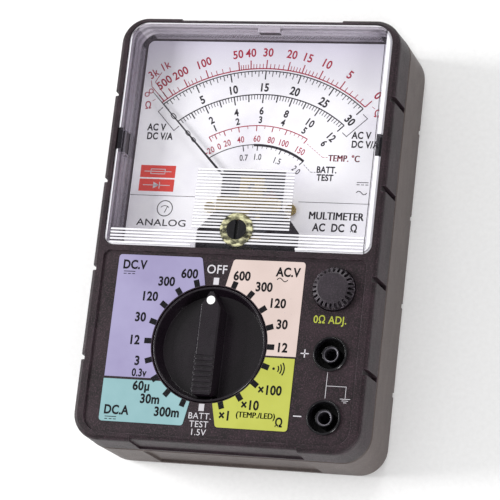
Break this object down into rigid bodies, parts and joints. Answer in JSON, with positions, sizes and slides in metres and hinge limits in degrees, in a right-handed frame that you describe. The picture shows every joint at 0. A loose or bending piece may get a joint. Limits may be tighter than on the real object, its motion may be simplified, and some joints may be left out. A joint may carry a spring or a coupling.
{
  "type": "analog multimeter",
  "caption": "Palm-size moving-coil multimeter: needle scale under a clear cover, rotary range selector, ohm adjuster and two plug sockets in a two-part case.",
  "frame": {"origin": "on the table, under the middle of the case, with the meter lying on its back", "axes": "+X to the right of the scale, +Y from the selector to the scale, +Z out of the front panel"},
  "size_m": [0.094, 0.14, 0.0391],
  "materials": {
    "front_shell": "dark aubergine-grey moulded plastic with a fine spark-eroded grain",
    "rear_shell": "grey-brown moulded plastic with a fine grain",
    "clear_cover": "clear polystyrene",
    "black_gloss": "polished black plastic",
    "knob_plastic": "satin near-black plastic",
    "white_fill": "white filled marker",
    "printed_scale": "silver-white painted aluminium sheet",
    "bright_steel": "bright plated steel",
    "nickel": "nickel plate",
    "brass_parts": "turned and stamped brass",
    "magnet_alloy": "ground magnet alloy",
    "soft_iron": "zinc-plated soft iron",
    "coil_copper": "enamelled copper wire on an aluminium former",
    "carrier_plastic": "dark grey moulded carrier",
    "rotor_plastic": "ivory acetal",
    "board": "green solder mask on glass-fibre board",
    "gold_track": "gold flashed contact",
    "cell_wrapper": "plain plastic-sleeved cell, no printing",
    "spring_wire": "spring steel",
    "fuse_glass": "clear glass tube",
    "resistor_body": "lacquered film resistor",
    "diode_body": "amber glass diode",
    "capacitor_body": "blue sleeved capacitor",
    "buzzer_body": "black moulded buzzer",
    "pot_housing": "blue moulded housing",
    "red_lead": "red wire insulation",
    "black_lead": "black wire insulation",
    "pointer_black": "black lacquer on thin aluminium",
    "label_lavender": "printed lavender label",
    "label_teal": "printed pale teal label",
    "label_blush": "printed pale blush label",
    "label_lime": "printed lime label"
  },
  "bodies": {
    "meter": {"rear_case": "rear_shell", "front_case": "front_shell", "case_screws": "bright_steel", "meter_cover": "clear_cover", "scale_plate": "printed_scale", "scale_screws": "brass_parts", "movement_frame": "carrier_plastic", "movement_screws": "bright_steel", "yoke_ring": "soft_iron", "core_magnet": "magnet_alloy", "core_spacers": "brass_parts", "front_bridge": "brass_parts", "rear_bridge": "brass_parts", "jewel_screws": "brass_parts", "switch_tracks": "gold_track", "pot_body": "pot_housing", "pcb": "board", "pcb_screws": "bright_steel", "plus_socket_body": "black_gloss", "minus_socket_body": "black_gloss", "plus_socket_sleeve": "nickel", "minus_socket_sleeve": "nickel", "aa_cell_upper": "cell_wrapper", "aa_cell_lower": "cell_wrapper", "battery_springs": "spring_wire", "battery_plates": "nickel", "fuse_tube": "fuse_glass", "fuse_caps": "nickel", "fuse_clips": "brass_parts", "buzzer": "buzzer_body", "range_resistors": "resistor_body", "capacitors": "capacitor_body", "diodes": "diode_body", "movement_leads": "red_lead", "battery_leads": "black_lead", "label_dc_volts": "label_lavender", "label_dc_amps": "label_teal", "label_ac_volts": "label_blush", "label_ohms": "label_lime"},
    "range_selector": {"range_knob": "knob_plastic", "knob_dot": "white_fill", "knob_screw": "bright_steel", "switch_rotor": "rotor_plastic", "wiper_contacts": "gold_track", "detent_balls": "bright_steel", "detent_springs": "spring_wire"},
    "ohm_adjuster": {"ohm_knob": "knob_plastic", "pot_shaft": "bright_steel"},
    "zero_adjuster": {"zero_screw": "black_gloss"},
    "zero_arm": {"zero_lever": "brass_parts"},
    "needle": {"moving_coil": "coil_copper", "coil_pivots": "bright_steel", "front_hairspring": "brass_parts", "rear_hairspring": "brass_parts", "pointer": "pointer_black", "balance_weights": "brass_parts"}
  },
  "joints": [
    {"name": "selector_turn", "type": "hinge", "parent": "meter", "child": "range_selector", "pos_m": [-0.00485, -0.0373, 0.03], "axis": [0, 0, 1], "continuous": true},
    {"name": "adjuster_turn", "type": "hinge", "parent": "meter", "child": "ohm_adjuster", "pos_m": [0.0334, -0.0182, 0.03], "axis": [0, 0, 1], "range_deg": [-140, 140]},
    {"name": "zero_screw_turn", "type": "hinge", "parent": "meter", "child": "zero_adjuster", "pos_m": [0, -0.0005, 0.034], "axis": [0, 0, 1], "range_deg": [-35, 35]},
    {"name": "zero_arm_turn", "type": "hinge", "parent": "meter", "child": "zero_arm", "pos_m": [0, 0.0099, 0.0297], "axis": [0, 0, 1], "range_deg": [-4.8, 4.8]},
    {"name": "needle_swing", "type": "hinge", "parent": "meter", "child": "needle", "pos_m": [0, 0.0099, 0.0268], "axis": [0, 0, 1], "range_deg": [-93, 3], "stiffness_Nm_per_rad": 0.00002}
  ],
  "couplings": [
    {"joint": "zero_arm_turn", "follows": "zero_screw_turn", "ratio": -0.1304}
  ]
}
